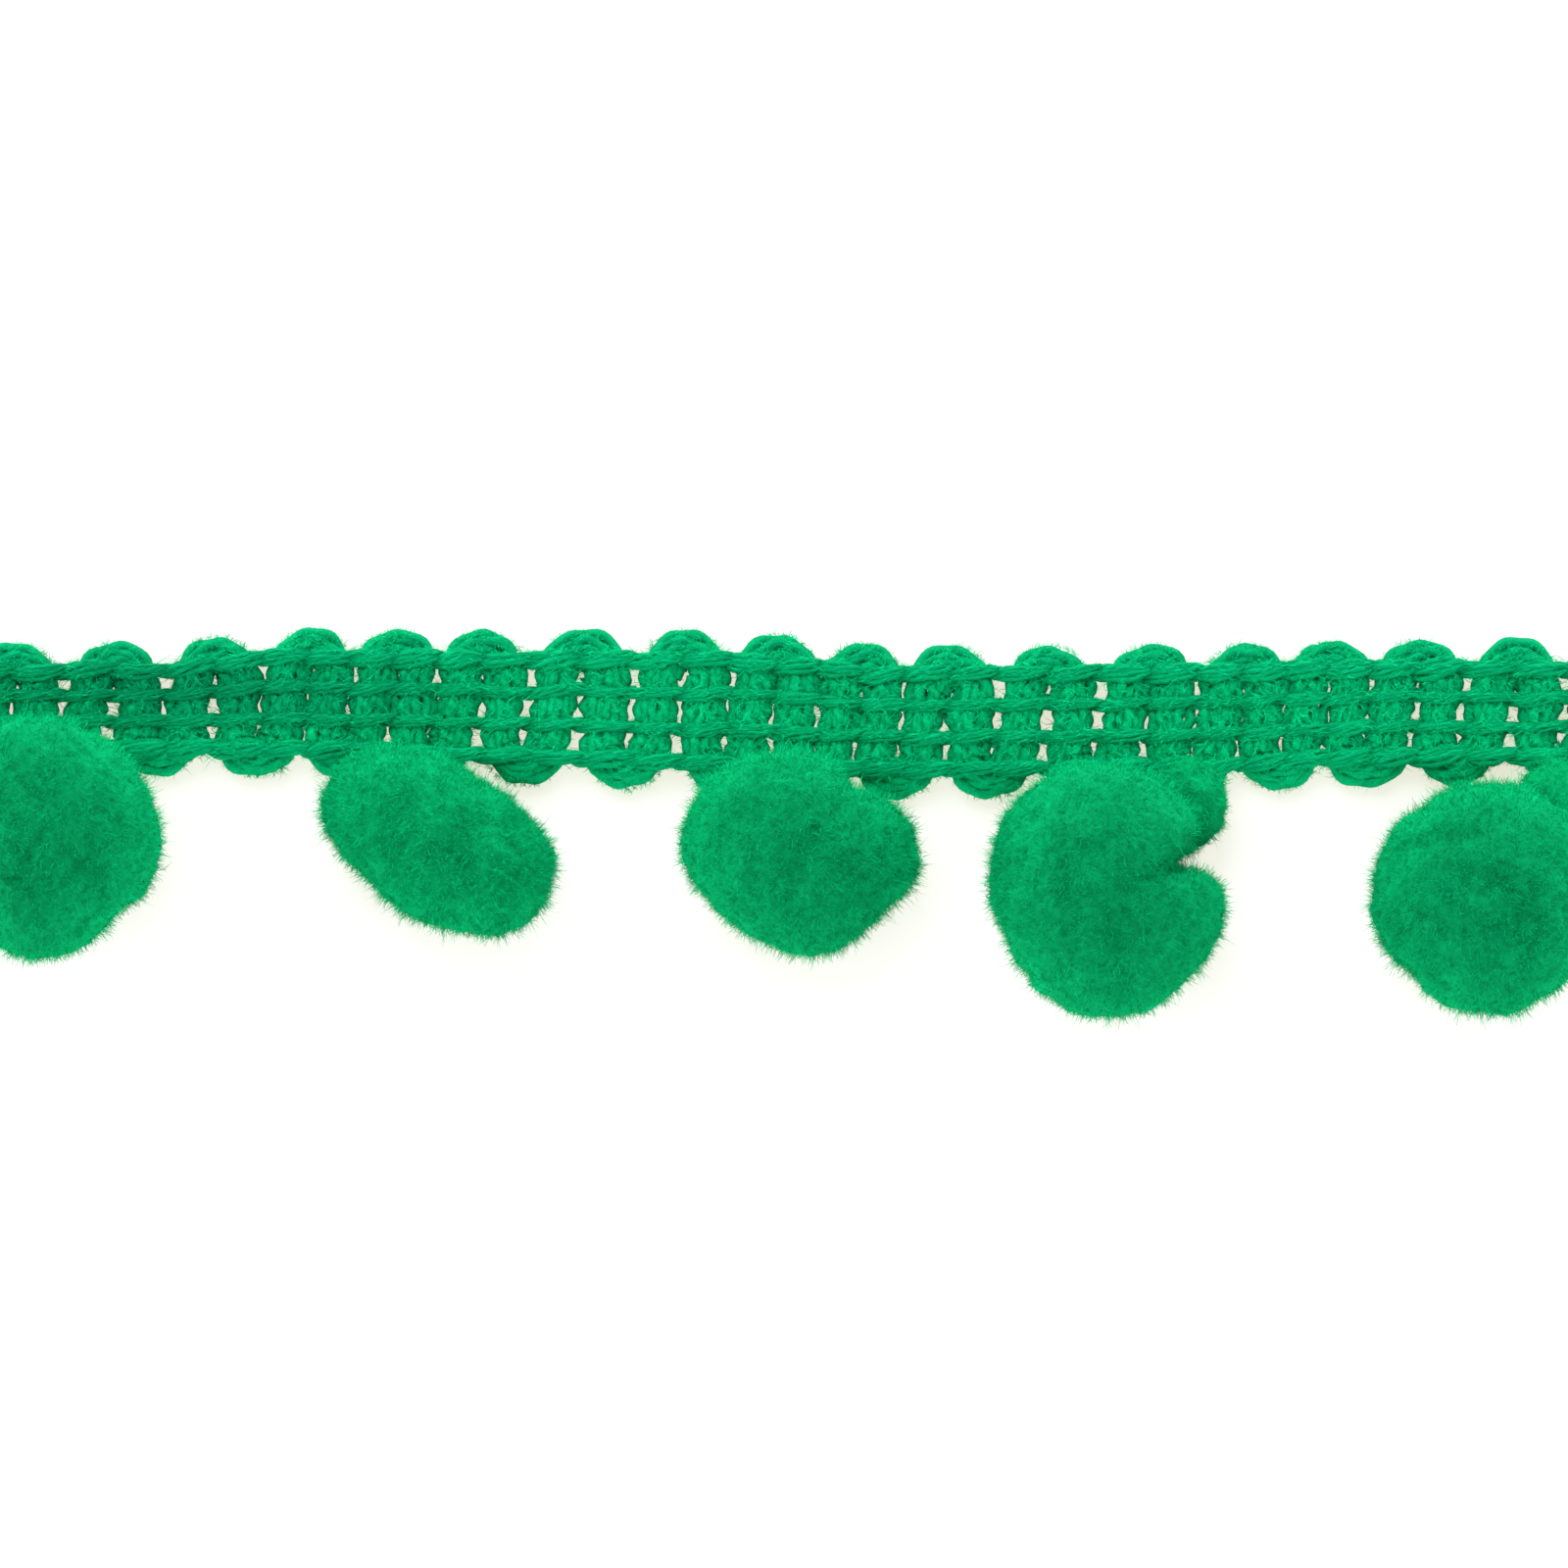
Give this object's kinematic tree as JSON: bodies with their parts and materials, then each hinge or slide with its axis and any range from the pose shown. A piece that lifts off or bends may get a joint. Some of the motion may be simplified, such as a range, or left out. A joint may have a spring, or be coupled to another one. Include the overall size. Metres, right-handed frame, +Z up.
{
  "type": "pompom fringe trim",
  "caption": "Cut length of pompom fringe trim: a soft braided heading with looped edges, and fluffy round pompoms hanging from its lower edge.",
  "frame": {"origin": "on the flat back of the heading, in the middle of its width and length", "axes": "+X along the trim, -Y from the heading towards the pompoms, +Z up from the flat back to the face"},
  "size_m": [0.0935, 0.02, 0.0098],
  "materials": {
    "trim_yarn": "soft green bulked acrylic yarn, matt, with fine fuzz and see-through gaps between the picks",
    "pompom_pile": "green cut pile of fine acrylic fibres, matt, with a fuzzy outline"
  },
  "bodies": {
    "root": {"heading": "trim_yarn", "pompom_1": "pompom_pile", "pompom_2": "pompom_pile", "pompom_3": "pompom_pile", "pompom_4": "pompom_pile", "pompom_5": "pompom_pile"}
  },
  "joints": []
}
